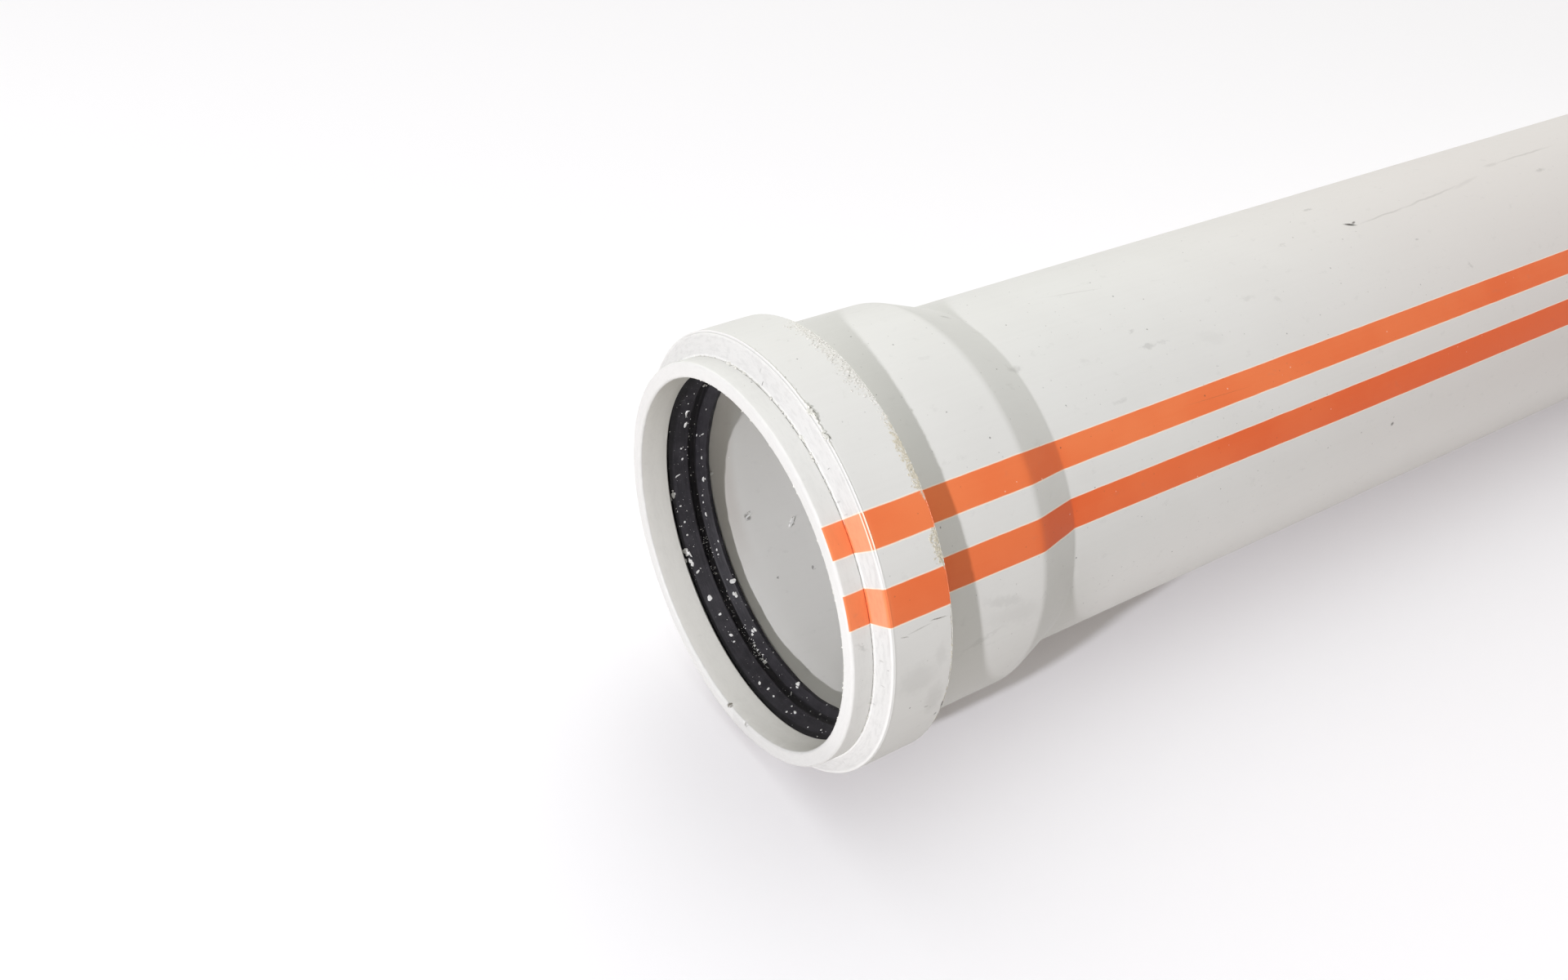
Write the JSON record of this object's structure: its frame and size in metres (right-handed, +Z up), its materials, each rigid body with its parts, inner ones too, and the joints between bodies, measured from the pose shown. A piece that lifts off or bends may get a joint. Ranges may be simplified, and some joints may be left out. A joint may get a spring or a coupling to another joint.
{
  "type": "pvc drain pipe with socket",
  "caption": "Light grey PVC drain pipe, 75 mm across, with a belled push-fit socket, a black rubber seal ring and orange stripes along one side.",
  "frame": {"origin": "on the floor, under the middle of the pipe's overall length", "axes": "+X along the floor from the mouth of the socket to the plain end, +Z up; the stripes are on the -Y side"},
  "size_m": [0.544, 0.0898, 0.0899],
  "materials": {
    "pvc": "satin",
    "rubber": "matte"
  },
  "bodies": {
    "root": {"pipe": "pvc", "seal_ring": "rubber"}
  },
  "joints": []
}
